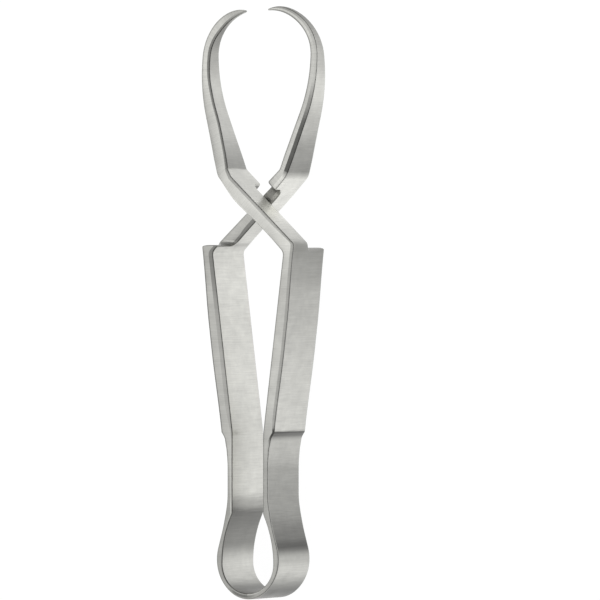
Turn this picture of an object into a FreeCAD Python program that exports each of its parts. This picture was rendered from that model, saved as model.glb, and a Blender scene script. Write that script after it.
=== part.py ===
"""Cross-action towel clamp: one flat steel strip bent into a spring loop and two crossing arms.

Millimetres. The clamp lies on its side edge: Y runs from the spring loop to the jaws, X is the
way the jaws open, Z is across the strip. Headings are degrees from +Y, positive towards -X.
The right arm is worked out; the left arm is the same arm turned half a turn about the long axis.
"""
import FreeCAD, Part
import math
import os

# strip
STRIP_WIDTH = 9.7
EDGE_BEVEL = 0.3

# spring loop, seen from the side: a round bottom, fuller flanks and leaning legs
LOOP_BOTTOM_RADIUS = 4.85
LOOP_FLANK_RADIUS = 6.3
LOOP_FLANK_START = 55.0
LOOP_INNER_RADIUS = 4.48
LOOP_BOTTOM_THICKNESS = 0.92
LEG_LEAN = 16.0
LEG_STRAIGHT = 5.0
LEG_INNER_RADIUS = 17.0
LEG_CURVE_RADIUS = 13.0
HINGE_REACH = 2.2
HINGE_CLEARANCE = 0.03

# waist, where the spring legs stand closest
WAIST_HALF_GAP = 2.7
WAIST_LENGTH = 5.0

# grip plates
GRIP_SPLAY = 7.3
GRIP_LENGTH = 27.7
GRIP_THICKNESS_AT_LEDGE = 1.95
GRIP_THICKNESS_AT_SHOULDER = 1.75
LEDGE_RISE = 4.2
LEDGE_SLANT = 50.0
LEDGE_FILLET = 3.2
LEDGE_CORNER_RADIUS = 0.15
GRIP_ROOT_RADIUS = 10.0
SHOULDER_RISE = 0.8
SHOULDER_CORNER_RADIUS = 0.65
SHOULDER_FILLET = 0.9

# necks, which pass side by side where the arms cross
NECK_LEAN = 45.3
NECK_LENGTH = 16.2
NECK_THICKNESS_AT_SHOULDER = 2.05
NECK_THICKNESS_AT_JAW = 1.66
NECK_GAP = 0.4
NECK_BEND_RADIUS = 1.2
NECK_START = 3.0

# jaws
JAW_FLARE = 20.0
JAW_STRAIGHT = 9.45
JAW_BOW_RADIUS = 25.0
JAW_RISE_OF_RIGHT_ARM = 0.0
JAW_RISE_OF_LEFT_ARM = 0.6
HOOK_RADIUS = 7.25
HOOK_SWEEP = 92.0
JAW_ROOT_LENGTH = 2.9
JAW_ROOT_FILLET = 1.2
JAW_OVERHANG = 2.3
JAW_TAPER = 0.65
POINT_TAPER = 0.85
POINT_TAPER_EASE = 9.0
JAW_WIDTH_TIP = 0.7
JAW_WIDTH_EASE = 1.6
JAW_BEVEL_SHARE = 0.2
TIP_LEAN = 1.7
TIP_LEAN_RUN = 12.0
TIP_LEAN_EASE = 1.5
JAW_STATION_STEP = 2.2

MID = STRIP_WIDTH / 2
NECK_EDGE = MID + NECK_GAP / 2


def vec(x, y, z=0.0):
    return FreeCAD.Vector(x, y, z)


def ahead(point, heading, distance):
    """The point a distance further along a heading."""
    angle = math.radians(heading)
    return vec(point.x - distance * math.sin(angle), point.y + distance * math.cos(angle))


def beside(point, heading, distance):
    """The point a distance to the right of a heading."""
    return ahead(point, heading - 90.0, distance)


def turn(point, heading, radius, angle):
    """The end point and heading of an arc; a positive angle turns left, towards -X."""
    side = math.copysign(radius, angle)
    centre = beside(point, heading, -side)
    return beside(centre, heading + angle, side), heading + angle


def meet(point_a, heading_a, point_b, heading_b):
    """Where two straight lines cross."""
    a = ahead(vec(0, 0), heading_a, 1.0)
    b = ahead(vec(0, 0), heading_b, 1.0)
    gap = point_b - point_a
    along = (gap.x * b.y - gap.y * b.x) / (a.x * b.y - a.y * b.x)
    return point_a + a * along


def rounded_wire(corners):
    """A closed wire through (point, radius) corners, each rounded by its radius."""
    runs = []
    count = len(corners)
    for i in range(count):
        point, radius = corners[i]
        before = (corners[i - 1][0] - point).normalize()
        after = (corners[(i + 1) % count][0] - point).normalize()
        if radius > 0:
            half = before.getAngle(after) / 2
            reach = radius / math.tan(half)
            middle = (before + after).normalize()
            centre = point + middle * (radius / math.sin(half))
            runs.append((point + before * reach, centre - middle * radius, point + after * reach))
        else:
            runs.append((point, None, point))
    edges = []
    for i in range(count):
        start, crest, end = runs[i]
        if crest is not None:
            edges.append(Part.Arc(start, crest, end).toShape())
        following = runs[(i + 1) % count][0]
        if (following - end).Length > 1e-7:
            edges.append(Part.LineSegment(end, following).toShape())
    return Part.Wire(edges)


def plate(corners, low, high):
    """A flat outline raised between two heights."""
    wire = rounded_wire([(vec(p.x, p.y, low), r) for p, r in corners])
    return Part.Face(wire).extrude(vec(0, 0, high - low))


def round_bar(centre, radius):
    return Part.makeCylinder(radius, STRIP_WIDTH, vec(centre.x, centre.y, 0))


# outer face of the right-hand half of the spring, from the bottom of the loop upwards
BOTTOM = vec(0, 0)
FLANK_START, FLANK_HEADING = turn(BOTTOM, -90.0, LOOP_BOTTOM_RADIUS, 90.0 - LOOP_FLANK_START)
LEAN_START, LEAN_HEADING = turn(FLANK_START, FLANK_HEADING, LOOP_FLANK_RADIUS, LOOP_FLANK_START + LEG_LEAN)
LEAN_END = ahead(LEAN_START, LEG_LEAN, LEG_STRAIGHT)
WAIST_OUTER, WAIST_HEADING = turn(LEAN_END, LEG_LEAN, LEG_CURVE_RADIUS, -LEG_LEAN)
FOOT_OUTER = ahead(WAIST_OUTER, WAIST_HEADING, WAIST_LENGTH)

# inner face: the round of the loop, a long curve inwards and the straight waist
EYE_CENTRE = vec(0, LOOP_BOTTOM_THICKNESS + LOOP_INNER_RADIUS)
EYE_BOTTOM = vec(0, LOOP_BOTTOM_THICKNESS)
EYE_SIDE = vec(LOOP_INNER_RADIUS, EYE_CENTRE.y)
LEG_INNER_CENTRE = vec(LOOP_INNER_RADIUS - LEG_INNER_RADIUS, EYE_CENTRE.y)
LEG_INNER_TURN = math.degrees(math.acos((WAIST_HALF_GAP - LEG_INNER_CENTRE.x) / LEG_INNER_RADIUS))
WAIST_INNER = turn(EYE_SIDE, 0.0, LEG_INNER_RADIUS, LEG_INNER_TURN)[0]
FOOT_INNER = vec(WAIST_HALF_GAP, FOOT_OUTER.y)

# the hinge axis lies in the middle of the strip
HINGE_OUTER = ahead(LEAN_START, LEG_LEAN, HINGE_REACH)
FROM_CENTRE = HINGE_OUTER - LEG_INNER_CENTRE
OUTWARD = beside(vec(0, 0), LEG_LEAN, 1.0)
ALONG = FROM_CENTRE.dot(OUTWARD)
HINGE_THICKNESS = ALONG - math.sqrt(ALONG ** 2 - FROM_CENTRE.dot(FROM_CENTRE) + LEG_INNER_RADIUS ** 2)
HINGE = HINGE_OUTER - OUTWARD * (HINGE_THICKNESS / 2)

# faces of the grip and neck
GRIP_ROOT = ahead(FOOT_INNER, 0.0, LEDGE_RISE)
NECK_INNER = ahead(GRIP_ROOT, -GRIP_SPLAY, GRIP_LENGTH)
SHOULDER_Y = NECK_INNER.y + SHOULDER_RISE
LEDGE_CORNER = beside(GRIP_ROOT, 0.0, GRIP_THICKNESS_AT_LEDGE)
GRIP_OUTER_TOP = beside(NECK_INNER, -GRIP_SPLAY, GRIP_THICKNESS_AT_SHOULDER)
NECK_OUTER = beside(NECK_INNER, NECK_LEAN, NECK_THICKNESS_AT_SHOULDER)
BEND_INNER = ahead(NECK_INNER, NECK_LEAN, NECK_LENGTH)
BEND_OUTER = beside(BEND_INNER, NECK_LEAN, NECK_THICKNESS_AT_JAW)


def heading_of(a, b):
    return math.degrees(math.atan2(a.x - b.x, b.y - a.y))


def neck_section(distance):
    """The neck's inner and outer edge points at a distance from the shoulder bend."""
    share = distance / NECK_LENGTH
    thickness = NECK_THICKNESS_AT_SHOULDER + share * (NECK_THICKNESS_AT_JAW - NECK_THICKNESS_AT_SHOULDER)
    inner = ahead(NECK_INNER, NECK_LEAN, distance)
    return inner, beside(inner, NECK_LEAN, thickness)


def arc(start, heading, radius, angle):
    """The edge of an arc."""
    middle = turn(start, heading, radius, angle / 2)[0]
    return Part.Arc(start, middle, turn(start, heading, radius, angle)[0]).toShape()


def line(start, end):
    return Part.LineSegment(start, end).toShape()


def half_spring():
    """The right-hand half of the spring, from the bottom of the loop to the foot of the grip."""
    outer = [arc(BOTTOM, -90.0, LOOP_BOTTOM_RADIUS, 90.0 - LOOP_FLANK_START),
             arc(FLANK_START, FLANK_HEADING, LOOP_FLANK_RADIUS, LOOP_FLANK_START + LEG_LEAN),
             line(LEAN_START, LEAN_END),
             arc(LEAN_END, LEG_LEAN, LEG_CURVE_RADIUS, -LEG_LEAN),
             line(WAIST_OUTER, FOOT_OUTER)]
    inner = [arc(EYE_BOTTOM, -90.0, LOOP_INNER_RADIUS, 90.0),
             arc(EYE_SIDE, 0.0, LEG_INNER_RADIUS, LEG_INNER_TURN),
             line(WAIST_INNER, FOOT_INNER)]
    ends = [line(BOTTOM, EYE_BOTTOM), line(FOOT_OUTER, FOOT_INNER)]
    wire = Part.Wire(Part.__sortEdges__(outer + inner + ends))
    return Part.Face(wire).extrude(vec(0, 0, STRIP_WIDTH))


def above_hinge():
    """A block over everything on the leg's side of the hinge line."""
    inside = beside(HINGE, LEG_LEAN, -HINGE_THICKNESS)
    outside = beside(HINGE, LEG_LEAN, STRIP_WIDTH)
    top = FOOT_OUTER.y + STRIP_WIDTH
    corners = [outside, vec(outside.x, top), vec(0, top), vec(0, inside.y), inside]
    return plate([(p, 0) for p in corners], 0, STRIP_WIDTH)


def bow():
    """The loop below both hinges, with a round seat at each end."""
    right = half_spring().cut([above_hinge(), round_bar(HINGE, HINGE_THICKNESS / 2 + HINGE_CLEARANCE)])
    left = right.mirror(vec(0, 0), vec(1, 0, 0))
    return right.fuse(left).removeSplitter()


def leg():
    """The thin spring leg, from its round end at the hinge to the foot of the grip."""
    blade = half_spring().common(above_hinge())
    return blade.fuse(round_bar(HINGE, HINGE_THICKNESS / 2)).removeSplitter()


def grip():
    """The thick plate from the ledge to the shoulder, with the first of the neck."""
    ledge_root = meet(LEDGE_CORNER, 90.0 + LEDGE_SLANT, FOOT_OUTER, 0.0)
    outer_heading = heading_of(LEDGE_CORNER, GRIP_OUTER_TOP)
    neck_heading = heading_of(NECK_OUTER, BEND_OUTER)
    outer_bend = meet(LEDGE_CORNER, outer_heading, NECK_OUTER, neck_heading)
    neck_inner, neck_outer = neck_section(NECK_START)
    corners = [(FOOT_INNER, 0), (GRIP_ROOT, GRIP_ROOT_RADIUS), (NECK_INNER, NECK_BEND_RADIUS),
               (neck_inner, 0), (neck_outer, 0), (outer_bend, 0),
               (LEDGE_CORNER, LEDGE_CORNER_RADIUS), (ledge_root, LEDGE_FILLET), (FOOT_OUTER, 0)]
    body = plate(corners, 0, STRIP_WIDTH).cut(shoulder_relief())
    corner = [e for e in body.Edges if upright_at_shoulder(e)]
    return body.makeFillet(SHOULDER_CORNER_RADIUS, corner)


def upright_at_shoulder(edge):
    """Whether an edge is the shoulder's outer corner, upright and on the side without the neck."""
    box = edge.BoundBox
    upright = box.XLength < 1e-6 and box.YLength < 1e-6
    return upright and abs(box.YMin - SHOULDER_Y) < 1e-6 and box.XMin > GRIP_OUTER_TOP.x


def shoulder_relief():
    """What is ground away beyond the shoulder, so that the neck is half as wide as the grip."""
    top = SHOULDER_Y + NECK_LENGTH
    corners = [(vec(SHOULDER_Y, NECK_EDGE), SHOULDER_FILLET), (vec(top, NECK_EDGE), 0),
               (vec(top, -MID), 0), (vec(SHOULDER_Y, -MID), 0)]
    across = plate(corners, -STRIP_WIDTH, 2 * STRIP_WIDTH)
    # the outline's own x becomes Y, its y becomes Z and its height becomes X
    across.transformShape(FreeCAD.Matrix(0, 0, 1, 0, 1, 0, 0, 0, 0, 1, 0, 0, 0, 0, 0, 1))
    return across


def neck():
    """The half-width bar that crosses beside the other arm's bar."""
    start_inner, start_outer = neck_section(NECK_START)
    end_inner, end_outer = neck_section(NECK_LENGTH - JAW_ROOT_LENGTH - JAW_ROOT_FILLET)
    corners = [(start_inner, 0), (end_inner, 0), (end_outer, 0), (start_outer, 0)]
    return plate(corners, NECK_EDGE, STRIP_WIDTH)


def jaw_root():
    """The stretch of neck that widens in a rounded step before the bend into the jaw."""
    reach = JAW_ROOT_LENGTH + JAW_ROOT_FILLET
    start_inner, start_outer = neck_section(NECK_LENGTH - reach)
    first = jaw_section(0.0, 0.0)
    low = MID - JAW_OVERHANG
    block = plate([(start_inner, 0), (first[0], 0), (first[1], 0), (start_outer, 0)], low, STRIP_WIDTH)
    step = plate([(vec(-reach, 0), 0), (vec(JAW_ROOT_FILLET, 0), JAW_ROOT_FILLET),
                  (vec(JAW_ROOT_FILLET, -reach), 0), (vec(-reach, -reach), 0)],
                 -STRIP_WIDTH, STRIP_WIDTH)
    # the outline's x runs along the neck, its y becomes Z and its height crosses the neck
    step.transformShape(FreeCAD.Matrix(1, 0, 0, 0, 0, 0, 1, 0, 0, 1, 0, 0, 0, 0, 0, 1))
    step.rotate(vec(0, 0), vec(0, 0, 1), 90.0 + NECK_LEAN)
    step.translate(vec(start_inner.x, start_inner.y, NECK_EDGE))
    return block.cut(step)


def jaw_length(rise):
    bow_run = math.radians(JAW_FLARE) * JAW_BOW_RADIUS
    return JAW_STRAIGHT + bow_run + rise + math.radians(HOOK_SWEEP) * HOOK_RADIUS


def jaw_spot(distance, rise):
    """The jaw's centre line and heading at a distance from the bend: straight, bowed, straight, hooked."""
    start = (BEND_INNER + BEND_OUTER) * 0.5
    point, heading = ahead(start, JAW_FLARE, min(distance, JAW_STRAIGHT)), JAW_FLARE
    left = distance - JAW_STRAIGHT
    if left > 0:
        bow_run = math.radians(JAW_FLARE) * JAW_BOW_RADIUS
        run = min(left, bow_run)
        point, heading = turn(point, heading, JAW_BOW_RADIUS, -math.degrees(run / JAW_BOW_RADIUS))
        left -= bow_run
    if left > 0:
        point = ahead(point, heading, min(left, rise))
        left -= rise
    if left > 0:
        point, heading = turn(point, heading, HOOK_RADIUS, -math.degrees(left / HOOK_RADIUS))
    return point, heading


def jaw_section(distance, rise):
    """The jaw's two face points and its thickness at a distance from the bend."""
    point, heading = jaw_spot(distance, rise)
    share = distance / jaw_length(rise)
    thickness = NECK_THICKNESS_AT_JAW - JAW_TAPER * share - POINT_TAPER * share ** POINT_TAPER_EASE
    if distance == 0.0:
        heading = (NECK_LEAN + JAW_FLARE) / 2
        thickness /= math.cos(math.radians(NECK_LEAN - JAW_FLARE) / 2)
    half = thickness / 2
    return beside(point, heading, -half), beside(point, heading, half), thickness


def jaw_edges(distance, rise, tip_lean):
    """The heights of the jaw's two side edges at a distance from the bend."""
    length = jaw_length(rise)
    share = distance / length
    half_tip = JAW_WIDTH_TIP / 2
    high = MID + half_tip + (MID - half_tip) * (1 - share) ** JAW_WIDTH_EASE
    low = MID - JAW_OVERHANG + (JAW_OVERHANG - half_tip) * share
    past = max(0.0, distance - (length - TIP_LEAN_RUN)) / TIP_LEAN_RUN
    shift = tip_lean * past ** TIP_LEAN_EASE
    return low + shift, high + shift


def jaw_ring(distance, rise, tip_lean):
    """A bevelled rectangular section of the jaw."""
    left, right, thickness = jaw_section(distance, rise)
    low, high = jaw_edges(distance, rise, tip_lean)
    bevel = min(EDGE_BEVEL, JAW_BEVEL_SHARE * thickness)
    across = (right - left).normalize()
    ring = []
    for side, inward in ((left, across), (right, -across)):
        near, far = side + inward * bevel, side
        ring.append([(near, low), (far, low + bevel), (far, high - bevel), (near, high)])
    outline = ring[0] + ring[1][::-1]
    points = [vec(p.x, p.y, z) for p, z in outline]
    return Part.makePolygon(points + points[:1])


def jaw(rise, tip_lean):
    """The hooked jaw, lofted from the bend to the point, on its widened root."""
    length = jaw_length(rise)
    count = math.ceil(length / JAW_STATION_STEP)
    rings = [jaw_ring(length * i / count, rise, tip_lean) for i in range(count + 1)]
    return jaw_root().fuse(Part.makeLoft(rings, True, False))


def arm(rise, tip_lean):
    return {"leg": leg(), "grip": grip(), "neck": neck(), "jaw": jaw(rise, tip_lean)}


def build():
    """Every node by name, with the origin under the middle of the whole, and the right hinge's place."""
    nodes = {"spring_bow": bow()}
    for name, shape in arm(JAW_RISE_OF_RIGHT_ARM, TIP_LEAN).items():
        nodes["right_arm_" + name] = shape
    for name, shape in arm(JAW_RISE_OF_LEFT_ARM, -TIP_LEAN).items():
        shape.rotate(vec(0, 0, MID), vec(0, 1, 0), 180)
        nodes["left_arm_" + name] = shape
    box = Part.makeCompound(list(nodes.values())).optimalBoundingBox()
    to_middle = vec(0, -(box.YMin + box.YMax) / 2)
    for shape in nodes.values():
        shape.translate(to_middle)
    return nodes, HINGE + to_middle


def main():
    os.makedirs("parts", exist_ok=True)
    nodes, hinge = build()
    for name, shape in nodes.items():
        shape.exportStep("parts/" + name + ".step")
        box = shape.optimalBoundingBox()
        print(name, len(shape.Solids), shape.isValid(), round(shape.Volume, 2),
              [round(v, 2) for v in (box.XMin, box.YMin, box.ZMin, box.XMax, box.YMax, box.ZMax)])
    print("hinge", round(hinge.x, 4), round(hinge.y, 4), "thickness", round(HINGE_THICKNESS, 3))


main()
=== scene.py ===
"""The towel clamp's looks: each half of the bent strip as one seamless brushed mesh.

Lengths are in millimetres, as in part.py, and turn into metres when a mesh is made. Headings are
degrees from +Y, positive towards -X. Y starts at the bottom of the loop until the mesh is placed.

Both halves are laid out as the right arm's, and the left one is then turned half a turn about Y.
A spot on the strip is given by its run, the distance along the strip from the bottom of the loop,
by z, the distance across the strip, and by its depth behind the inner face.
"""
import bisect
import math
from collections import namedtuple

import bmesh
import bpy
from mathutils import Matrix, Vector
from mathutils.geometry import delaunay_2d_cdt


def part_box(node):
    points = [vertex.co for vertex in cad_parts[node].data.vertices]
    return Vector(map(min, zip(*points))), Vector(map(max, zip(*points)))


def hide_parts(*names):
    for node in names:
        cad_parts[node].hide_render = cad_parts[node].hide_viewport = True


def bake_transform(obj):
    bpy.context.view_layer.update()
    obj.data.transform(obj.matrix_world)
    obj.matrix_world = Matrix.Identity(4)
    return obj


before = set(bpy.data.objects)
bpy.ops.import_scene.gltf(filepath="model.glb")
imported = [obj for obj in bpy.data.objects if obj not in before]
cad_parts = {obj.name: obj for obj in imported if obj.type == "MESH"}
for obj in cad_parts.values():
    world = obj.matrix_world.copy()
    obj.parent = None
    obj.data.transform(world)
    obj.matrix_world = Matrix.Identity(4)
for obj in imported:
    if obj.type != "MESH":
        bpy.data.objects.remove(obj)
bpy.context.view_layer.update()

MM = 0.001

# the solids' own dimensions
STRIP_WIDTH = 9.7
LOOP_BOTTOM_RADIUS = 4.85
LOOP_FLANK_RADIUS = 6.3
LOOP_FLANK_START = 55.0
LOOP_INNER_RADIUS = 4.48
LOOP_BOTTOM_THICKNESS = 0.92
LEG_LEAN = 16.0
LEG_STRAIGHT = 5.0
LEG_INNER_RADIUS = 17.0
LEG_CURVE_RADIUS = 13.0
WAIST_HALF_GAP = 2.7
WAIST_LENGTH = 5.0
GRIP_SPLAY = 7.3
GRIP_LENGTH = 27.7
GRIP_THICKNESS_AT_LEDGE = 1.95
GRIP_THICKNESS_AT_SHOULDER = 1.75
LEDGE_RISE = 4.2
LEDGE_SLANT = 50.0
LEDGE_FILLET = 3.2
GRIP_ROOT_RADIUS = 10.0
SHOULDER_RISE = 0.8
SHOULDER_FILLET = 0.9
NECK_LEAN = 45.3
NECK_LENGTH = 16.2
NECK_THICKNESS_AT_SHOULDER = 2.05
NECK_THICKNESS_AT_JAW = 1.66
NECK_GAP = 0.4
NECK_BEND_RADIUS = 1.2
JAW_FLARE = 20.0
JAW_STRAIGHT = 9.45
JAW_BOW_RADIUS = 25.0
HOOK_RADIUS = 7.25
HOOK_SWEEP = 92.0
JAW_ROOT_LENGTH = 2.9
JAW_ROOT_FILLET = 1.2
JAW_OVERHANG = 2.3
JAW_TAPER = 0.65
POINT_TAPER = 0.85
JAW_WIDTH_TIP = 0.7
JAW_WIDTH_EASE = 1.6
TIP_LEAN = 1.7
TIP_LEAN_RUN = 12.0
TIP_LEAN_EASE = 1.5

# what differs between the arms: how much further up the hook stands, how far its point leans
# across the strip and droops, how much fuller the jaw's bow and the neck's inner face are, how
# much higher the shoulder stands, and how much longer the jaw's root is. The rise and the lean
# are the solids' own, and the rest is only in the visual model
Arm = namedtuple("Arm", "rise tip_lean droop belly neck_fuller lift root_longer")
RIGHT_ARM = Arm(rise=0.0, tip_lean=TIP_LEAN, droop=0.0, belly=0.5, neck_fuller=0.5,
                lift=-0.15, root_longer=0.55)
LEFT_ARM = Arm(rise=0.6, tip_lean=-TIP_LEAN, droop=0.42, belly=0.0, neck_fuller=0.1,
               lift=0.25, root_longer=0.0)

# what only the visual model has: the forms that are a little fuller than the solids'
WAIST_FULLER = 0.22
WAIST_FULLER_FROM = 10.0
WAIST_FULLER_AT = 14.0
FOOT_FULLER = 0.25
GRIP_FULLER = 0.25
GRIP_FULLER_AT = 38.0
GRIP_FULLER_UNTIL = 42.0
FULLER_LEAD = 1.0
LEDGE_LEAD = 0.5
NECK_OUTER_FULLER = 0.2
POINT_TAPER_EASE = 18.0
TIP_DROOP_RUN = 4.5
TIP_DROOP_EASE = 3.0

# the jaw is thicker towards its high edge near the root, and thinner there further up
WEDGE = 0.68
WEDGE_LEAD = 1.6
WEDGE_FADES = 0.22
WEDGE_GONE = 0.52
WEDGE_DIP = 0.35
WEDGE_DIP_FROM, WEDGE_DIP_FULL, WEDGE_DIP_FADES, WEDGE_DIP_GONE = 0.4, 0.6, 0.66, 0.82
WEDGE_FLARED_UNTIL = 0.1

# the roundings of its edges, in depth from the face, with the worn ones growing up the strip
EDGE_ROUND = 0.3
EDGE_SHARE = 0.3
EDGE_CROWN = 0.03
WORN_ROUND_INNER = 0.65
WORN_ROUND_INNER_OF_JAW = 0.68
WORN_ROUND_OUTER = 0.5
WORN_ROUND_OUTER_OF_JAW = 0.38
WORN_INSET = 0.22
WORN_SHARE = 0.42
WORN_GROWTH = 0.1
WORN_PAST_LEDGE = 0.3
WORN_JAW_FROM = 2.0
WORN_JAW_FULL = 4.0
WALL_ROUND = 0.7
WALL_REACH = 1.4

# the roundings of its outline and of its bends
SHOULDER_CORNER = 0.9
SHOULDER_REACH = 1.5
WALL_CORNER = 0.34
TIP_CORNER = 0.25
CORNER_SPARE = 0.1
LEDGE_ROUND = 0.3
NECK_ROUND = 0.8
BEND_ROUND_INNER = 3.0
BEND_ROUND_OUTER = 0.6

# how finely the mesh is cut, what it keeps clear of, and what counts as the same
ARC_STEP = 1.0
BEND_SEGMENTS = 12
EDGE_SEGMENTS = 5
CROWN_SEGMENTS = 4
CORNER_SEGMENTS = 6
LOOP_STEP = 4.5
LEG_STEP = 0.55
LEDGE_SLOPE_STEP = 0.16
LEDGE_STEP = 0.06
LEDGE_BEFORE = 0.5
LEDGE_PAST = 0.4
GRIP_STEP = 1.6
SHOULDER_BEFORE = 1.0
SHOULDER_PAST = 0.4
SHOULDER_STEP = 0.12
FILLET_STEP = 0.1
SQUARE_AT = 5.0
SQUARE_STEP = 0.25
NECK_STEP = 0.6
JAW_FROM = 2.6
JAW_STEP = 0.7
TIP_RUN = 3.0
TIP_STEP = 0.35
WALL_LEVELS = (1.0, 1.6, 2.4, 3.2)
FLOOR_ABOVE_NECK = 1.0
CLEAR_OF_END = 0.02
CLEAR_OF_CORNER = 0.05
WALL_STEEP = 0.7
SHOULDER_SOFT = 0.1
LEFT_OF_ALL = -40.0
SAME_SPOT = 0.001
RUN_DIGITS = 4
SLACK = 1e-4
SKIN_SLACK = 1e-5
TINY = 1e-6

# steel: each kind of face, and its tones as (run, tone) from the loop to the point of the jaw. The
# tones are painted light: bands of painted reflection where the steel would mirror a light or a
# dark surrounding, painted shade on the walls and under the ledge, and painted dark and light lines
# along the edges
PAINTED_LIGHT_TONES = {
    "inner_face": [(0, 0.13), (2.5, 0.18), (5.5, 0.57), (7.5, 0.65), (11, 0.26), (15.5, 0.18),
                   (17, 0.42), (19, 0.68), (28, 0.63), (36, 0.69), (46, 0.65), (50, 0.7),
                   (56.1, 0.65), (56.7, 0.45), (57.3, 0.64), (62.6, 0.6), (67, 0.75),
                   (72.3, 0.75), (72.9, 0.28), (76, 0.32), (81, 0.5), (86, 0.68), (91, 0.49),
                   (98, 0.24)],
    # outer face: the dip from 27 to 28.1 is a painted shadow under the ledge, and the rise to 0.9
    # near 63.8 is a painted highlight where the other neck shades the face
    "outer_face": [(0, 0.19), (3, 0.14), (7, 0.6), (8.5, 0.46), (10.4, 0.1), (12, 0.19),
                   (17, 0.33), (22, 0.36), (24, 0.46), (26.7, 0.5), (27.0, 0.38), (27.5, 0.15),
                   (28.1, 0.15), (28.4, 0.61), (36, 0.58), (48, 0.46), (53, 0.34), (56.4, 0.29),
                   (59, 0.58), (63.8, 0.9), (67, 0.6), (72.1, 0.6), (72.8, 0.3), (80, 0.51),
                   (86, 0.56), (91, 0.42), (94, 0.3), (96, 0.25), (99, 0.36)],
    "low_edge": [(0, 0.2), (2, 0.2), (4, 0.4), (14, 0.38), (16, 0.36), (20, 0.46), (25, 0.56),
                 (30, 0.5), (50, 0.5), (55, 0.44), (60, 0.5), (66, 0.45), (69, 0.34),
                 (70.3, 0.6), (74, 0.58), (84, 0.54), (92, 0.56), (95, 0.68), (102, 0.6)],
    "high_edge": [(0, 0.25), (2, 0.4), (8, 0.46), (12, 0.41), (22, 0.42), (28, 0.52),
                  (34, 0.58), (50, 0.52), (58, 0.66), (71, 0.66), (74, 0.5), (84, 0.51),
                  (88, 0.56), (92, 0.6), (97, 0.61), (99.5, 0.54)],
    # end walls: painted shade, dark all along
    "end_wall": [(0, 0.2), (102, 0.2)],
    # worn inner rounding: its dark lines are painted reflections, and its light stretch from 70.2
    # to 72.4 a painted highlight
    "worn_inner_painted_reflection": [(0, 0.3), (4, 0.35), (14, 0.4), (17, 0.58), (26, 0.58), (29, 0.42),
                   (45, 0.4), (53, 0.25), (64.5, 0.24), (67, 0.42), (70.2, 0.7), (72.4, 0.75),
                   (72.9, 0.12), (80, 0.13), (84, 0.32), (88, 0.55), (96, 0.5), (99, 0.35)],
    # worn outer rounding: its dark lines are painted reflections, and the dip from 27.7 to 28.3 a
    # painted shadow at the ledge
    "worn_outer_painted_reflection": [(0, 0.4), (4, 0.4), (26, 0.45), (27.7, 0.1), (28.3, 0.1), (29, 0.4),
                   (56, 0.4), (60, 0.45), (71, 0.4), (73, 0.24), (84, 0.26), (92, 0.22),
                   (97, 0.28), (101, 0.45)],
    # fine edge: a painted highlight from 60 to 69
    "fine_edge": [(0, 0.5), (56, 0.5), (60, 0.85), (69, 0.85), (74, 0.5)],
    # far edge: a painted dark line along the grips, from 30 to 52
    "far_edge": [(0, 0.4), (26, 0.4), (30, 0.28), (52, 0.28), (57, 0.4), (66, 0.55),
                 (102, 0.4)],
}
(INNER_FACE, OUTER_FACE, LOW_EDGE, HIGH_EDGE, END_WALL,
 WORN_INNER_PAINTED_REFLECTION, WORN_OUTER_PAINTED_REFLECTION, FINE_EDGE, FAR_EDGE) = range(len(PAINTED_LIGHT_TONES))
TINT = (1.0, 0.997, 0.945)
ANISOTROPY = 0.35
ROUGHNESS_RANGE = (0.31, 0.43)
UV_PER_MM = 0.01
UV_SPAN = 1.1  # the run that a ramp of tones covers
LINE_SCALE = 620.0
LINE_LENGTH = 0.03
LINE_DETAIL = 4.0
LINE_ROUGHNESS = 0.65
LINE_DEPTH = 0.12
LINE_WAVER = 0.006
LINE_BUMP = 0.25
LINE_BUMP_HEIGHT = 0.00002
CLOUD_SCALE = 420.0
CLOUD_DETAIL = 5.0
CLOUD_ROUGHNESS = 0.6
CLOUD_DEPTH = 0.13
NOISE_RANGE = (0.25, 0.75)
CLOUD_RANGE = (0.3, 0.7)

# studio, in metres, with a light wall on the left and a dark one on the right
FLOOR_SIZE = 6.0
FLOOR_TONE = (0.05, 0.07)
FLOOR_NOISE = 40.0
FLOOR_ROUGHNESS = 0.9
FLOOR_GLOW = 0.97
WALLS_APART = (-0.5, 0.3)
LEFT_WALL = 0.6
RIGHT_WALL = 0.03
CEILING_LOW = 0.45
CEILING_HIGH = 0.8
KEY_SPOT = (-0.5, 0.5, 0.8)
KEY_SIZE = 0.6
KEY_POWER = 0.5

# camera: the clamp is seen turned about its long axis, with the jaws up
VIEW_TURN = 30.0
VIEW_TILT = 0.7
VIEW_SIDE = 5.61
VIEW_UP = 0.38
PICTURE_PIXELS = 600.0
PIXELS_PER_MM = 6.56
DISTANCE = 1500.0
SENSOR = 36.0
CLIP_START = 0.05

# how strongly the weighted normals favour the larger faces
NORMAL_WEIGHT = 60

MID = STRIP_WIDTH / 2
NECK_EDGE = MID + NECK_GAP / 2
STEP_TOP = NECK_EDGE - SHOULDER_FILLET
ROOT_TOP = NECK_EDGE - JAW_ROOT_FILLET
ROOT_LOW = MID - JAW_OVERHANG


def flat(x, y):
    return Vector((x, y))


def ahead(point, heading, distance):
    angle = math.radians(heading)
    return flat(point.x - distance * math.sin(angle), point.y + distance * math.cos(angle))


def beside(point, heading, distance):
    return ahead(point, heading - 90.0, distance)


def turn(point, heading, radius, angle):
    """Where an arc ends, and its heading there."""
    side = math.copysign(radius, angle)
    centre = beside(point, heading, -side)
    return beside(centre, heading + angle, side), heading + angle


def arc_points(start, heading, radius, angle):
    count = max(2, math.ceil(abs(angle) / ARC_STEP))
    return [turn(start, heading, radius, angle * i / count)[0] for i in range(count + 1)]


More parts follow.
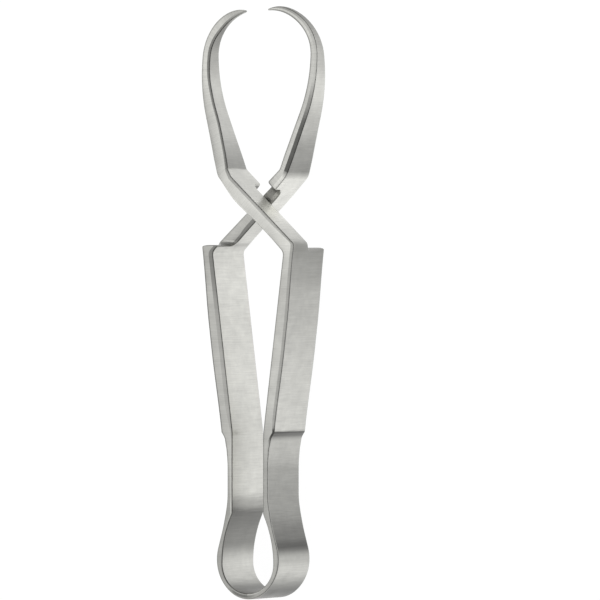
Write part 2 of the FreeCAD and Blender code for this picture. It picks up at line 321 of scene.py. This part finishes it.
def meet(point_a, heading_a, point_b, heading_b):
    """Where two lines meet."""
    a, b = ahead(flat(0, 0), heading_a, 1.0), ahead(flat(0, 0), heading_b, 1.0)
    gap = point_b - point_a
    return point_a + a * ((gap.x * b.y - gap.y * b.x) / (a.x * b.y - a.y * b.x))


def rounded(before, corner, after, radius):
    """The points of the arc that rounds a corner."""
    back, on = (before - corner).normalized(), (after - corner).normalized()
    half = back.angle(on) / 2
    middle = (back + on).normalized()
    centre = corner + middle * (radius / math.sin(half))
    start = corner + back * (radius / math.tan(half)) - centre
    end = corner + on * (radius / math.tan(half)) - centre
    sweep = start.angle_signed(end)
    return [centre + Matrix.Rotation(-sweep * i / BEND_SEGMENTS, 2) @ start
            for i in range(BEND_SEGMENTS + 1)]


def heading_of(a, b):
    return math.degrees(math.atan2(a.x - b.x, b.y - a.y))


def crossing(line, origin, direction):
    """Where a ray first meets a line of points."""
    best = None
    for a, b in zip(line, line[1:]):
        run = b - a
        cross = direction.x * run.y - direction.y * run.x
        if abs(cross) < TINY * TINY:
            continue
        gap = a - origin
        along = (gap.x * run.y - gap.y * run.x) / cross
        share = (gap.x * direction.y - gap.y * direction.x) / cross
        if -SLACK <= share <= 1 + SLACK and along > TINY and (best is None or along < best):
            best = along
    return origin + direction * best


def eased(value, start, end):
    share = min(max((value - start) / (end - start), 0.0), 1.0)
    return share * share * (3 - 2 * share)


def spread(start, end, step):
    """Even steps from start, which is left out, to end."""
    count = max(1, math.ceil(abs(end - start) / step - TINY))
    return [start + (end - start) * i / count for i in range(1, count + 1)]


# the two faces of a half, from the bottom of the loop upwards
BOTTOM = flat(0, 0)
FLANK_START, FLANK_HEADING = turn(BOTTOM, -90.0, LOOP_BOTTOM_RADIUS, 90.0 - LOOP_FLANK_START)
FLANK_SWEEP = LOOP_FLANK_START + LEG_LEAN
LEAN_START = turn(FLANK_START, FLANK_HEADING, LOOP_FLANK_RADIUS, FLANK_SWEEP)[0]
LEAN_END = ahead(LEAN_START, LEG_LEAN, LEG_STRAIGHT)
WAIST_OUTER = turn(LEAN_END, LEG_LEAN, LEG_CURVE_RADIUS, -LEG_LEAN)[0]
FOOT_OUTER = ahead(WAIST_OUTER, 0.0, WAIST_LENGTH)
EYE_CENTRE = flat(0, LOOP_BOTTOM_THICKNESS + LOOP_INNER_RADIUS)
EYE_SIDE = flat(LOOP_INNER_RADIUS, EYE_CENTRE.y)
LEG_INNER_X = LOOP_INNER_RADIUS - LEG_INNER_RADIUS
LEG_INNER_TURN = math.degrees(math.acos((WAIST_HALF_GAP - LEG_INNER_X) / LEG_INNER_RADIUS))
GRIP_ROOT = flat(WAIST_HALF_GAP, FOOT_OUTER.y + LEDGE_RISE)
NECK_INNER = ahead(GRIP_ROOT, -GRIP_SPLAY, GRIP_LENGTH)
SHOULDER_Y = NECK_INNER.y + SHOULDER_RISE
LEDGE_CORNER = beside(GRIP_ROOT, 0.0, GRIP_THICKNESS_AT_LEDGE)
LEDGE_ROOT = meet(LEDGE_CORNER, 90.0 + LEDGE_SLANT, FOOT_OUTER, 0.0)
GRIP_OUTER_TOP = beside(NECK_INNER, -GRIP_SPLAY, GRIP_THICKNESS_AT_SHOULDER)
NECK_OUTER = beside(NECK_INNER, NECK_LEAN, NECK_THICKNESS_AT_SHOULDER + NECK_OUTER_FULLER)
BEND_INNER = ahead(NECK_INNER, NECK_LEAN, NECK_LENGTH)
BEND_OUTER = beside(BEND_INNER, NECK_LEAN, NECK_THICKNESS_AT_JAW)
OUTER_BEND = meet(LEDGE_CORNER, heading_of(LEDGE_CORNER, GRIP_OUTER_TOP),
                  NECK_OUTER, heading_of(NECK_OUTER, BEND_OUTER))

OUTER_LINE = (arc_points(BOTTOM, -90.0, LOOP_BOTTOM_RADIUS, 90.0 - LOOP_FLANK_START)
              + arc_points(FLANK_START, FLANK_HEADING, LOOP_FLANK_RADIUS, FLANK_SWEEP)
              + arc_points(LEAN_END, LEG_LEAN, LEG_CURVE_RADIUS, -LEG_LEAN)
              + rounded(FOOT_OUTER, LEDGE_ROOT, LEDGE_CORNER, LEDGE_FILLET)
              + rounded(LEDGE_ROOT, LEDGE_CORNER, OUTER_BEND, LEDGE_ROUND)
              + rounded(LEDGE_CORNER, OUTER_BEND, BEND_OUTER, NECK_ROUND)
              + [BEND_OUTER])
INNER_LINE = (arc_points(flat(0, LOOP_BOTTOM_THICKNESS), -90.0, LOOP_INNER_RADIUS, 90.0)
              + arc_points(EYE_SIDE, 0.0, LEG_INNER_RADIUS, LEG_INNER_TURN)
              + rounded(flat(WAIST_HALF_GAP, FOOT_OUTER.y), GRIP_ROOT, NECK_INNER, GRIP_ROOT_RADIUS)
              + rounded(GRIP_ROOT, NECK_INNER, BEND_INNER, NECK_BEND_RADIUS)
              + [BEND_INNER])


def level(y):
    """The strip's two faces at one height up the clamp, the outer one fuller than the solids'."""
    origin, right = flat(LEFT_OF_ALL, y), flat(1, 0)
    below_ledge = 1 - eased(y, LEDGE_ROOT.y - LEDGE_LEAD, LEDGE_CORNER.y)
    waist = WAIST_FULLER * eased(y, WAIST_FULLER_FROM, WAIST_FULLER_AT)
    waist += FOOT_FULLER * eased(y, FOOT_OUTER.y - FULLER_LEAD, LEDGE_ROOT.y)
    grip = eased(y, LEDGE_CORNER.y + FULLER_LEAD, GRIP_FULLER_AT)
    grip *= 1 - eased(y, GRIP_FULLER_UNTIL, SHOULDER_Y - FULLER_LEAD)
    outer = crossing(OUTER_LINE, origin, right)
    outer += right * (waist * below_ledge + GRIP_FULLER * grip)
    return crossing(INNER_LINE, origin, right), outer


def neck_section(distance, fuller):
    """The neck's two faces at a distance from its foot."""
    share = distance / NECK_LENGTH
    inner = ahead(NECK_INNER, NECK_LEAN, distance)
    full = fuller * math.sin(math.pi * min(max(share, 0.0), 1.0) ** 2) ** 2
    return beside(inner, NECK_LEAN, -full), NECK_OUTER.lerp(BEND_OUTER, share)


def jaw_length(arm):
    bow = math.radians(JAW_FLARE) * JAW_BOW_RADIUS
    return JAW_STRAIGHT + bow + arm.rise + math.radians(HOOK_SWEEP) * HOOK_RADIUS


def jaw_spot(distance, arm):
    """The jaw's middle line at a distance from its root: straight, bowed, straight and hooked."""
    point = ahead((BEND_INNER + BEND_OUTER) / 2, JAW_FLARE, min(distance, JAW_STRAIGHT))
    heading, left = JAW_FLARE, distance - JAW_STRAIGHT
    if left > 0:
        bow = math.radians(JAW_FLARE) * JAW_BOW_RADIUS
        angle = -math.degrees(min(left, bow) / JAW_BOW_RADIUS)
        point, heading = turn(point, heading, JAW_BOW_RADIUS, angle)
        left -= bow
    if left > 0:
        point = ahead(point, heading, min(left, arm.rise))
        left -= arm.rise
    if left > 0:
        point, heading = turn(point, heading, HOOK_RADIUS, -math.degrees(left / HOOK_RADIUS))
    return point, heading


def jaw_section(distance, arm):
    """The jaw's two faces at a distance from its root."""
    point, heading = jaw_spot(distance, arm)
    length = jaw_length(arm)
    share = distance / length
    thickness = NECK_THICKNESS_AT_JAW - JAW_TAPER * share - POINT_TAPER * share ** POINT_TAPER_EASE
    near = max(0.0, distance - (length - TIP_DROOP_RUN)) / TIP_DROOP_RUN
    point = point - flat(0.0, arm.droop * near ** TIP_DROOP_EASE)
    fuller = arm.belly * math.sin(math.pi * share * share)
    return beside(point, heading, -thickness / 2), beside(point, heading, thickness / 2 + fuller)


def jaw_edges(distance, arm):
    """The jaw's low and high edge across the strip's width."""
    length = jaw_length(arm)
    distance = min(max(distance, 0.0), length)
    share = distance / length
    half_tip = JAW_WIDTH_TIP / 2
    high = MID + half_tip + (MID - half_tip) * (1 - share) ** JAW_WIDTH_EASE
    low = ROOT_LOW + (JAW_OVERHANG - half_tip) * share
    past = max(0.0, distance - (length - TIP_LEAN_RUN)) / TIP_LEAN_RUN
    shift = arm.tip_lean * past ** TIP_LEAN_EASE
    return low + shift, high + shift


class Track:
    """The strip's two faces, as pairs of facing points against the run along the strip."""

    def __init__(self):
        self.runs = []
        self.pairs = []

    def add(self, inner, outer):
        run = 0.0
        if self.pairs:
            last = (self.pairs[-1][0] + self.pairs[-1][1]) / 2
            step = ((inner + outer) / 2 - last).length
            if step < SAME_SPOT:
                return self.runs[-1]
            run = self.runs[-1] + step
        self.runs.append(run)
        self.pairs.append((inner, outer))
        return run

    def at(self, run):
        i = min(max(bisect.bisect_right(self.runs, run) - 1, 0), len(self.runs) - 2)
        share = (run - self.runs[i]) / (self.runs[i + 1] - self.runs[i])
        a, b = self.pairs[i], self.pairs[i + 1]
        return a[0].lerp(b[0], share), a[1].lerp(b[1], share)


def lay_track(arm):
    """The track of one half, and on it the runs of ledge, shoulder, jaw root, wedge and bend."""
    track = Track()
    for angle in [-90.0] + spread(-90.0, 0.0, LOOP_STEP):
        way = flat(math.cos(math.radians(angle)), math.sin(math.radians(angle)))
        track.add(crossing(INNER_LINE, EYE_CENTRE, way), crossing(OUTER_LINE, EYE_CENTRE, way))
    bottom = EYE_CENTRE.y
    for top, step in ((FOOT_OUTER.y, LEG_STEP),
                      (LEDGE_CORNER.y - LEDGE_BEFORE, LEDGE_SLOPE_STEP),
                      (LEDGE_CORNER.y + LEDGE_PAST, LEDGE_STEP),
                      (NECK_INNER.y - SHOULDER_BEFORE, GRIP_STEP),
                      (SHOULDER_Y + arm.lift, SHOULDER_STEP)):
        for y in spread(bottom, top, step):
            track.shoulder = track.add(*level(y))
            if y <= LEDGE_CORNER.y:
                track.ledge = track.shoulder
        bottom = top
    for y in spread(bottom, bottom + SHOULDER_FILLET + SHOULDER_PAST, FILLET_STEP):
        track.add(*level(y))

    # level cuts turn into cuts square to the neck
    inner_from = (track.pairs[-1][0] - NECK_INNER).length
    outer_from = (track.pairs[-1][1] - NECK_OUTER).length
    for share in spread(0.0, 1.0, SQUARE_STEP):
        inner_at = inner_from + share * (SQUARE_AT - inner_from)
        outer_at = outer_from + share * (SQUARE_AT - outer_from)
        track.add(neck_section(inner_at, arm.neck_fuller)[0],
                  neck_section(outer_at, arm.neck_fuller)[1])
    for distance in spread(SQUARE_AT, NECK_LENGTH - JAW_ROOT_LENGTH - arm.root_longer, NECK_STEP):
        track.root = track.add(*neck_section(distance, arm.neck_fuller))
    track.wedge = track.add(*neck_section(NECK_LENGTH - WEDGE_LEAD, arm.neck_fuller))

    inners = rounded(NECK_INNER, BEND_INNER, ahead(BEND_INNER, JAW_FLARE, JAW_STRAIGHT),
                     BEND_ROUND_INNER)
    outers = rounded(NECK_OUTER, BEND_OUTER, ahead(BEND_OUTER, JAW_FLARE, JAW_STRAIGHT),
                     BEND_ROUND_OUTER)
    bend_runs = [track.add(*pair) for pair in zip(inners, outers)]
    track.bend = (bend_runs[0] + bend_runs[-1]) / 2
    length = jaw_length(arm)
    for distance in ([JAW_FROM] + spread(JAW_FROM, length - TIP_RUN, JAW_STEP)
                     + spread(length - TIP_RUN, length, TIP_STEP)):
        track.add(*jaw_section(distance, arm))
    return track


def corner(run, z, radius, along, up, start):
    """A rounded corner of the outline, whose centre lies inside the strip."""
    spots = []
    for i in range(CORNER_SEGMENTS + 1):
        angle = math.radians(start + 90.0 * i / CORNER_SEGMENTS)
        out = (math.cos(angle), math.sin(angle))
        spots.append((run + along * radius + radius * out[0],
                      z + up * radius + radius * out[1], *out))
    return spots


def hollow(run, z, radius, start):
    """A fillet in the outline, around its centre, which lies outside the strip."""
    spots = []
    for i in range(CORNER_SEGMENTS + 1):
        angle = math.radians(start - 90.0 * i / CORNER_SEGMENTS)
        out = (math.cos(angle), math.sin(angle))
        spots.append((run + radius * out[0], z + radius * out[1], -out[0], -out[1]))
    return spots


def outline(track, arm):
    """The low and high side of the outline: (run, z, way out along the run, way out across)."""
    shoulder, root, bend, end = track.shoulder, track.root, track.bend, track.runs[-1]
    last = end - TIP_CORNER - CLEAR_OF_END

    def straight(start, stop, z):
        between = [r for r in track.runs if start + CLEAR_OF_END < r < stop - CLEAR_OF_END]
        return [(r, z, 0.0, -1.0) for r in [start] + between]

    low = straight(0.0, shoulder - WALL_CORNER, 0.0)
    low += corner(shoulder, 0.0, WALL_CORNER, -1, 1, -90.0)
    low += [(shoulder, z, 1.0, 0.0) for z in WALL_LEVELS]
    low += hollow(shoulder + SHOULDER_FILLET, STEP_TOP, SHOULDER_FILLET, 180.0)
    low += straight(shoulder + SHOULDER_FILLET + CLEAR_OF_CORNER, root - JAW_ROOT_FILLET, NECK_EDGE)
    low += hollow(root - JAW_ROOT_FILLET, ROOT_TOP, JAW_ROOT_FILLET, 90.0)
    low += corner(root, ROOT_LOW, WALL_CORNER, 1, 1, -180.0)
    high = [(r, STRIP_WIDTH, 0.0, 1.0) for r in track.runs if r < bend]
    for r in track.runs:
        if root + WALL_CORNER + CLEAR_OF_CORNER < r < last:
            low.append((r, jaw_edges(r - bend, arm)[0], 0.0, -1.0))
        if bend <= r < last:
            high.append((r, jaw_edges(r - bend, arm)[1], 0.0, 1.0))
    low_end, high_end = jaw_edges(end, arm)
    low += corner(end, low_end, TIP_CORNER, -1, 1, -90.0)
    high += corner(end, high_end, TIP_CORNER, -1, -1, 0.0)[::-1]
    return low, high


def section(thickness, inner_round, outer_round, softness, reach):
    """Round the strip's edge, from its inner to its outer face: (inset, depth).

    A worn corner is rounded more on the narrow edge than on the face. The outer corner grows to
    the shoulder's rounding: in depth by softness, and in inset by reach.
    """
    near = min(inner_round, (WORN_SHARE if inner_round > EDGE_ROUND else EDGE_SHARE) * thickness)
    far = min(outer_round, (WORN_SHARE if outer_round > EDGE_ROUND else EDGE_SHARE) * thickness)
    near_wide = min(near, WORN_INSET)
    far_wide = min(far, WORN_INSET)
    deep = far + softness * (SHOULDER_CORNER - far)
    wide = far_wide + max(softness * (WALL_CORNER - CORNER_SPARE - far_wide),
                          reach * (SHOULDER_CORNER - far_wide))
    turns = [math.radians(90.0 * i / EDGE_SEGMENTS) for i in range(EDGE_SEGMENTS + 1)]
    spots = [(near_wide * (1 - math.sin(a)), near * (1 - math.cos(a))) for a in turns]
    for i in range(1, CROWN_SEGMENTS):
        spots.append((0.0, near + (thickness - near - deep) * i / CROWN_SEGMENTS))
    spots += [(wide * (1 - math.sin(a)), thickness - deep * (1 - math.cos(a)))
              for a in turns[::-1]]
    crown = EDGE_CROWN * thickness
    return [(inset + crown * (2 * depth / thickness - 1) ** 2, depth) for inset, depth in spots]


Band = namedtuple("Band", "verts on_wall is_low on_shoulder")


class Half:
    """One half of the strip: rounded edges around its outline, and a skin on each face."""

    def __init__(self, arm):
        self.arm = arm
        self.track = lay_track(arm)
        self.low, self.high = outline(self.track, arm)
        self.mesh = bmesh.new()
        self.spot_of = {}
        bands = [self.band(spot, i < len(self.low))
                 for i, spot in enumerate(self.low + self.high[::-1])]
        for a, b in zip(bands, bands[1:]):
            self.join(a, b)
        cap = self.mesh.faces.new(bands[0].verts + bands[-1].verts[::-1])
        cap.material_index = END_WALL
        rungs = self.rungs()
        self.skin([band.verts[0] for band in bands], 0.0, rungs, INNER_FACE)
        self.skin([band.verts[-1] for band in bands], 1.0, rungs, OUTER_FACE)
        self.unwrap()
        bmesh.ops.recalc_face_normals(self.mesh, faces=self.mesh.faces)
        for face in self.mesh.faces:
            face.smooth = len(face.verts) <= 4

    def faces_at(self, run, z):
        """The two faces at one spot of the strip, with the jaw's wedge."""
        track = self.track
        inner, outer = track.at(run)
        if run > track.wedge:
            low_z, high_z = jaw_edges(run - track.bend, self.arm)
            along = (run - track.bend) / jaw_length(self.arm)
            way = beside(flat(0, 0), JAW_FLARE, 1.0)
            if along > WEDGE_FLARED_UNTIL:
                way = (outer - inner).normalized()
            grown = WEDGE * min((run - track.wedge) / (track.bend - track.wedge), 1.0)
            grown *= 1 - eased(along, WEDGE_FADES, WEDGE_GONE)
            grown -= (WEDGE_DIP * eased(along, WEDGE_DIP_FROM, WEDGE_DIP_FULL)
                      * (1 - eased(along, WEDGE_DIP_FADES, WEDGE_DIP_GONE)))
            outer = outer + way * (grown * min(max((z - low_z) / (high_z - low_z), 0.0), 1.0))
        return inner, outer

    def place(self, run, z, share):
        """A vertex at a share of the way from the inner to the outer face."""
        inner, outer = self.faces_at(run, z)
        point = inner.lerp(outer, share)
        vert = self.mesh.verts.new((point.x, point.y, z))
        self.spot_of[vert] = (run, z, share * (outer - inner).length)
        return vert

    def band(self, spot, is_low):
        """The vertices round the strip's edge at one spot of its outline."""
        run, z, out_run, out_z = spot
        track = self.track
        inner, outer = self.faces_at(run, z)
        thickness = (outer - inner).length
        near_shoulder = is_low and abs(run - track.shoulder) < SHOULDER_REACH
        softness = max(0.0, out_run) ** 2 if near_shoulder else 0.0
        reach = softness * min(max(z - WALL_CORNER, 0.0), 1.0)
        worn = EDGE_ROUND + max(0.0, run - track.ledge - WORN_PAST_LEDGE) * WORN_GROWTH
        on_jaw = eased(run, track.bend - WORN_JAW_FROM, track.bend + WORN_JAW_FULL)
        if is_low:
            off_wall = min(abs(run - track.shoulder), abs(run - track.root)) - WALL_REACH
            most = WORN_ROUND_INNER + on_jaw * (WORN_ROUND_INNER_OF_JAW - WORN_ROUND_INNER)
            by_wall = WALL_ROUND + max(0.0, off_wall) * WORN_GROWTH
            rounds = (min(worn, most, by_wall), EDGE_ROUND)
        else:
            most = WORN_ROUND_OUTER + on_jaw * (WORN_ROUND_OUTER_OF_JAW - WORN_ROUND_OUTER)
            rounds = (EDGE_ROUND, min(worn, most))
        verts = [self.place(run - out_run * inset, z - out_z * inset, depth / thickness)
                 for inset, depth in section(thickness, *rounds, softness, reach)]
        return Band(verts, abs(out_run) > WALL_STEEP, is_low, softness > SHOULDER_SOFT)

    def join(self, a, b):
        """The faces between two neighbouring bands."""
        for k in range(len(a.verts) - 1):
            kind = END_WALL if a.on_wall else LOW_EDGE if a.is_low else HIGH_EDGE
            if k < EDGE_SEGMENTS:
                kind = WORN_INNER_PAINTED_REFLECTION if a.is_low else FINE_EDGE
            elif k >= EDGE_SEGMENTS + CROWN_SEGMENTS:
                kind = WORN_OUTER_PAINTED_REFLECTION
                if a.is_low:
                    kind = OUTER_FACE if a.on_shoulder else FAR_EDGE
            face = self.mesh.faces.new((a.verts[k], b.verts[k], b.verts[k + 1], a.verts[k + 1]))
            face.material_index = kind

    def rungs(self):
        """The lines across the strip where its faces may bend: (high index, run, low index).

        Near the shoulder there is no low index, and the line ends on the neck's side of the strip.
        """
        low_at = {round(run, RUN_DIGITS): i for i, (run, _, out_run, _) in enumerate(self.low)
                  if abs(out_run) < TINY}
        wall_from = self.track.shoulder - SHOULDER_CORNER - CORNER_SPARE
        wall_to = self.track.shoulder + SHOULDER_FILLET + CORNER_SPARE
        rungs = []
        for i, (run, _, out_run, _) in enumerate(self.high):
            if 0 < i and abs(out_run) < TINY:
                floor = None if wall_from < run < wall_to else low_at.get(round(run, RUN_DIGITS))
                rungs.append((len(self.low) + len(self.high) - 1 - i, run, floor))
        return rungs

    def skin(self, verts, share, rungs, kind):
        """A face between the rounded edges, cut along its rungs."""
        lines = []
        for index, run, floor in rungs:
            if floor is None:
                verts.append(self.place(run, NECK_EDGE + FLOOR_ABOVE_NECK, share))
                floor = len(verts) - 1
            lines.append((index, floor))
        points = [flat(*self.spot_of[v][:2]) for v in verts]
        rim = list(range(len(self.low) + len(self.high)))
        found = delaunay_2d_cdt(points, lines, [rim], 1, SKIN_SLACK)
        for triangle in found[2]:
            corners = [verts[found[3][i][0]] for i in triangle]
            if len(set(corners)) == 3:
                face = self.mesh.faces.new(corners if kind == OUTER_FACE else corners[::-1])
                middle = sum(self.spot_of[v][0] for v in corners) / 3
                # the faces at the ledge take the worn outer rounding's tones, which paint the
                # ledge's shadow there
                on_ledge = kind == OUTER_FACE and abs(middle - self.track.ledge) < LEDGE_ROUND / 2
                face.material_index = WORN_OUTER_PAINTED_REFLECTION if on_ledge else kind

    def unwrap(self):
        """Lay the run along u, and the way round the strip along v."""
        uv = self.mesh.loops.layers.uv.new("strip")
        for face in self.mesh.faces:
            for loop in face.loops:
                run, z, depth = self.spot_of[loop.vert]
                if face.material_index in (INNER_FACE, OUTER_FACE):
                    depth = 0.0
                loop[uv].uv = (run * UV_PER_MM, (z + depth) * UV_PER_MM)


def make_arm(name, arm, turned, metals):
    mesh = Half(arm).mesh
    y_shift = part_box("spring_bow")[0].y / MM
    for vert in mesh.verts:
        x, y, z = vert.co
        if turned:
            x, z = -x, STRIP_WIDTH - z
        vert.co = Vector((x, y + y_shift, z)) * MM
    bmesh.ops.remove_doubles(mesh, verts=mesh.verts, dist=SAME_SPOT * MM)
    data = bpy.data.meshes.new(name)
    mesh.to_mesh(data)
    mesh.free()
    for material in metals:
        data.materials.append(material)
    piece = bpy.data.objects.new(name, data)
    bpy.context.scene.collection.objects.link(piece)

    # weighted normals keep the flat faces flat, and are then made part of the mesh
    smooth = piece.modifiers.new("normals", "WEIGHTED_NORMAL")
    smooth.keep_sharp = True
    smooth.weight = NORMAL_WEIGHT
    graph = bpy.context.evaluated_depsgraph_get()
    done = bpy.data.meshes.new_from_object(piece.evaluated_get(graph),
                                           preserve_all_data_layers=True, depsgraph=graph)
    piece.modifiers.clear()
    piece.data = done
    done.name = name
    return piece


def add_node(tree, kind, values=None):
    """A new shader node, with constants set on its sockets."""
    node = tree.nodes.new("ShaderNode" + kind)
    for socket, value in (values or {}).items():
        node.inputs[socket].default_value = value
    return node


def add_noise(tree, place, scale, detail, roughness):
    noise = add_node(tree, "TexNoise", {"Scale": scale, "Detail": detail, "Roughness": roughness})
    tree.links.new(place, noise.inputs["Vector"])
    return noise.outputs["Fac"]


def add_math(tree, operation, value, by, plus=None):
    """A sum on a value. by and plus are each a constant or another node's output."""
    node = add_node(tree, "Math")
    node.operation = operation
    tree.links.new(value, node.inputs[0])
    for index, other in ((1, by), (2, plus)):
        if isinstance(other, float):
            node.inputs[index].default_value = other
        elif other is not None:
            tree.links.new(other, node.inputs[index])
    return node.outputs["Value"]


def add_range(tree, value, source, target):
    """A value moved from one range to another."""
    node = add_node(tree, "MapRange", {"From Min": source[0], "From Max": source[1],
                                       "To Min": target[0], "To Max": target[1]})
    tree.links.new(value, node.inputs["Value"])
    return node.outputs["Result"]


def add_painted_light_ramp(tree, value, stops):
    """A soft ramp of painted reflection and shade along the run. stops are (run, tone)."""
    ramp = add_node(tree, "ValToRGB")
    ramp.color_ramp.interpolation = "EASE"
    elements = ramp.color_ramp.elements
    while len(elements) < len(stops):
        elements.new(0.5)
    for element, (run, tone) in zip(elements, stops):
        element.position = run * UV_PER_MM / UV_SPAN
        element.color = (tone * TINT[0], tone * TINT[1], tone * TINT[2], 1.0)
    tree.links.new(value, ramp.inputs["Fac"])
    return ramp.outputs["Color"]


def steel(name, stops):
    """Satin steel, ground across the strip, its base colour painted along the run with reflection
    bands and shade.
    """
    material = bpy.data.materials.new(name)
    material.use_nodes = True
    tree = material.node_tree
    shader = tree.nodes["Principled BSDF"]
    shader.inputs["Metallic"].default_value = 1.0
    shader.inputs["Anisotropic"].default_value = ANISOTROPY

    # fine lines, long across the strip, and clouds
    uv = add_node(tree, "UVMap")
    uv.uv_map = "strip"
    stretch = add_node(tree, "Mapping", {"Scale": (LINE_SCALE, LINE_SCALE * LINE_LENGTH, 1.0)})
    tree.links.new(uv.outputs["UV"], stretch.inputs["Vector"])
    lines = add_noise(tree, stretch.outputs["Vector"], 1.0, LINE_DETAIL, LINE_ROUGHNESS)
    place = add_node(tree, "TexCoord")
    cloud = add_noise(tree, place.outputs["Object"], CLOUD_SCALE, CLOUD_DETAIL, CLOUD_ROUGHNESS)

    # the painted reflection and shade along the strip, its borders made uneven by the lines
    split = add_node(tree, "SeparateXYZ")
    tree.links.new(uv.outputs["UV"], split.inputs["Vector"])
    waver = add_math(tree, "MULTIPLY_ADD", lines, LINE_WAVER, split.outputs["X"])
    reach = add_math(tree, "MULTIPLY_ADD", waver, 1.0 / UV_SPAN, -LINE_WAVER / 2 / UV_SPAN)
    tone = add_painted_light_ramp(tree, reach, stops)
    grain = add_range(tree, lines, NOISE_RANGE, (1.0 - LINE_DEPTH, 1.0 + LINE_DEPTH))
    blotch = add_range(tree, cloud, NOISE_RANGE, (1.0 - CLOUD_DEPTH, 1.0 + CLOUD_DEPTH))
    shade = add_node(tree, "VectorMath")
    shade.operation = "SCALE"
    tree.links.new(tone, shade.inputs["Vector"])
    tree.links.new(add_math(tree, "MULTIPLY", grain, blotch), shade.inputs["Scale"])
    tree.links.new(shade.outputs["Vector"], shader.inputs["Base Color"])

    rough = add_range(tree, cloud, CLOUD_RANGE, ROUGHNESS_RANGE)
    tree.links.new(rough, shader.inputs["Roughness"])
    bump = add_node(tree, "Bump", {"Strength": LINE_BUMP, "Distance": LINE_BUMP_HEIGHT})
    tree.links.new(lines, bump.inputs["Height"])
    tree.links.new(bump.outputs["Normal"], shader.inputs["Normal"])
    return material


def pale_floor():
    material = bpy.data.materials.new("pale_floor")
    material.use_nodes = True
    tree = material.node_tree
    shader = tree.nodes["Principled BSDF"]
    noise = add_node(tree, "TexNoise", {"Scale": FLOOR_NOISE})
    tone = add_range(tree, noise.outputs["Fac"], (0.0, 1.0), FLOOR_TONE)
    tree.links.new(tone, shader.inputs["Base Color"])
    shader.inputs["Roughness"].default_value = FLOOR_ROUGHNESS
    shader.inputs["Emission Color"].default_value = (1.0, 1.0, 1.0, 1.0)
    shader.inputs["Emission Strength"].default_value = FLOOR_GLOW
    return material


def add_floor():
    bpy.ops.mesh.primitive_plane_add(size=FLOOR_SIZE, location=(0.0, 0.0, 0.0))
    floor = bpy.context.object
    floor.name = "floor"
    floor.data.materials.append(pale_floor())


def studio_world():
    """A bright soft ceiling over a light wall on the left and a dark one on the right.

    The camera itself sees plain white.
    """
    world = bpy.data.worlds.new("studio")
    world.use_nodes = True
    tree = world.node_tree
    back = tree.nodes["Background"]
    back.inputs["Strength"].default_value = 1.0
    place = add_node(tree, "TexCoord")
    split = add_node(tree, "SeparateXYZ")
    side = add_node(tree, "MapRange", {"From Min": WALLS_APART[0], "From Max": WALLS_APART[1],
                                       "To Min": LEFT_WALL, "To Max": RIGHT_WALL})
    rise = add_node(tree, "MapRange", {"From Min": CEILING_LOW, "From Max": CEILING_HIGH,
                                       "To Max": 1.0})
    for node in (side, rise):
        node.interpolation_type = "SMOOTHSTEP"
    path = add_node(tree, "LightPath")
    seen = add_node(tree, "Mix", {"B": 1.0})
    tree.links.new(place.outputs["Generated"], split.inputs["Vector"])
    tree.links.new(split.outputs["X"], side.inputs["Value"])
    tree.links.new(split.outputs["Z"], rise.inputs["Value"])
    tree.links.new(side.outputs["Result"], rise.inputs["To Min"])
    tree.links.new(path.outputs["Is Camera Ray"], seen.inputs["Factor"])
    tree.links.new(rise.outputs["Result"], seen.inputs["A"])
    tree.links.new(seen.outputs["Result"], back.inputs["Color"])
    bpy.context.scene.world = world


def add_key_light():
    light = bpy.data.lights.new("key", "AREA")
    light.shape = "DISK"
    light.size = KEY_SIZE
    light.energy = KEY_POWER
    lamp = bpy.data.objects.new("key", light)
    lamp.location = KEY_SPOT
    lamp.rotation_euler = (-Vector(KEY_SPOT)).to_track_quat("-Z", "Y").to_euler()
    bpy.context.scene.collection.objects.link(lamp)


def add_camera():
    aside, tilt = math.radians(VIEW_TURN), math.radians(VIEW_TILT)
    back = Vector((math.sin(aside) * math.cos(tilt), math.sin(tilt),
                   math.cos(aside) * math.cos(tilt)))
    right = Vector((math.cos(aside), 0.0, -math.sin(aside)))
    up = back.cross(right)
    aim = Vector((0.0, VIEW_UP, MID)) + right * VIEW_SIDE
    lens = bpy.data.cameras.new("camera")
    lens.sensor_width = SENSOR
    lens.lens = SENSOR * DISTANCE / (PICTURE_PIXELS / PIXELS_PER_MM)
    lens.clip_start = CLIP_START
    camera = bpy.data.objects.new("camera", lens)
    pose = Matrix((right, up, back)).transposed().to_4x4()
    pose.translation = (aim + back * DISTANCE) * MM
    camera.matrix_world = pose
    bpy.context.scene.collection.objects.link(camera)
    bpy.context.scene.camera = camera


metals = [steel("steel_" + kind, stops) for kind, stops in PAINTED_LIGHT_TONES.items()]
for side, arm, turned in (("right", RIGHT_ARM, False), ("left", LEFT_ARM, True)):
    piece = make_arm(side + "_half", arm, turned, metals)
    nodes = [side + "_arm_" + part for part in ("leg", "grip", "neck", "jaw")]
    if side == "right":
        nodes.append("spring_bow")
    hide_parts(*nodes)
    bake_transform(piece)

add_floor()
studio_world()
add_key_light()
bpy.context.scene.view_settings.view_transform = "Standard"
add_camera()
